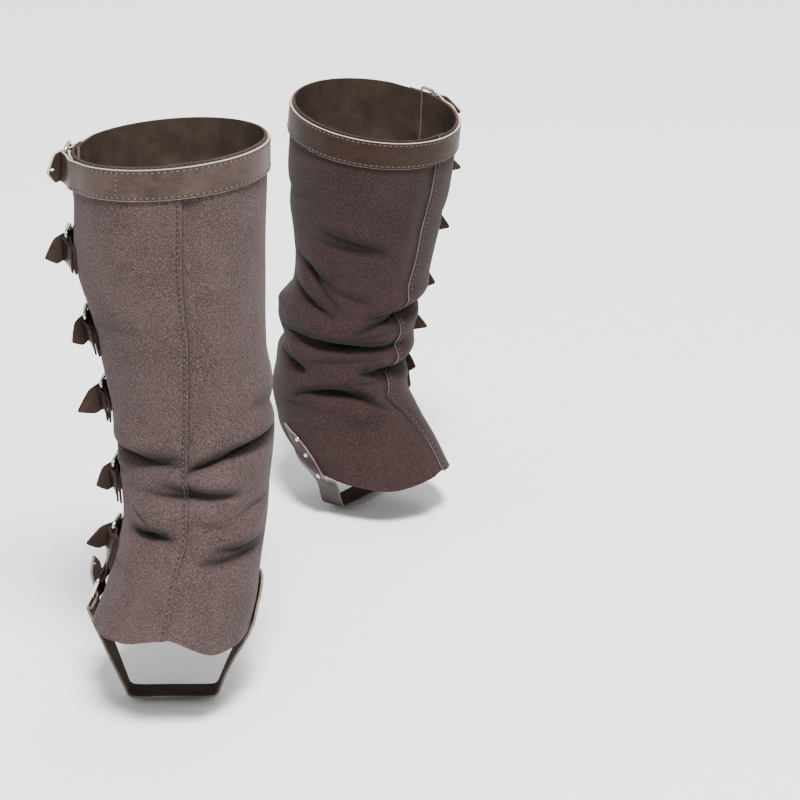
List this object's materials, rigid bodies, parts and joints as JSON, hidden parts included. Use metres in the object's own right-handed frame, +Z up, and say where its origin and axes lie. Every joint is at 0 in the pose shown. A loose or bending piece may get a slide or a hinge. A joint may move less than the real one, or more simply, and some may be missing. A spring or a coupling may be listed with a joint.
{
  "type": "pair of boot covers",
  "caption": "Pair of worn leather boot covers: suede panels with a lapped front seam, a top belt, side straps with frame buckles, and a strap under each shoe.",
  "frame": {"origin": "midway between the middles of the two top openings, where the wearer's calves hold the pair up", "axes": "+Z up along the shins; -Y the way the wearer stands; +X to the wearer's left. The wearer's right foot points along -Y, the left foot is turned out towards +X."},
  "size_m": [0.3084, 0.571, 0.4316],
  "materials": {
    "suede": "brown-grey suede, napped and matt",
    "belt_leather": "smooth brown leather, soft sheen",
    "strap_leather": "smooth dark brown leather, soft sheen",
    "buckle_metal": "nickel-plated wire, slightly dulled"
  },
  "bodies": {
    "root": {"near_outer_panel": "suede", "near_inner_panel": "suede", "near_belt": "belt_leather", "near_buckle_1": "buckle_metal", "near_buckle_2": "buckle_metal", "near_buckle_3": "buckle_metal", "near_buckle_4": "buckle_metal", "near_buckle_5": "buckle_metal", "near_buckle_6": "buckle_metal", "near_strap_2": "strap_leather", "near_tab_2": "strap_leather", "near_strap_3": "strap_leather", "near_tab_3": "strap_leather", "near_strap_4": "strap_leather", "near_tab_4": "strap_leather", "near_strap_5": "strap_leather", "near_tab_5": "strap_leather", "near_strap_6": "strap_leather", "near_tab_6": "strap_leather", "near_foot_strap": "strap_leather", "near_foot_tab": "strap_leather", "near_foot_buckle": "buckle_metal", "far_outer_panel": "suede", "far_inner_panel": "suede", "far_belt": "belt_leather", "far_buckle_1": "buckle_metal", "far_buckle_2": "buckle_metal", "far_buckle_3": "buckle_metal", "far_buckle_4": "buckle_metal", "far_buckle_5": "buckle_metal", "far_buckle_6": "buckle_metal", "far_strap_2": "strap_leather", "far_tab_2": "strap_leather", "far_strap_3": "strap_leather", "far_tab_3": "strap_leather", "far_strap_4": "strap_leather", "far_tab_4": "strap_leather", "far_strap_5": "strap_leather", "far_tab_5": "strap_leather", "far_strap_6": "strap_leather", "far_tab_6": "strap_leather", "far_foot_strap": "strap_leather", "far_foot_tab": "strap_leather", "far_foot_buckle": "buckle_metal"}
  },
  "joints": []
}
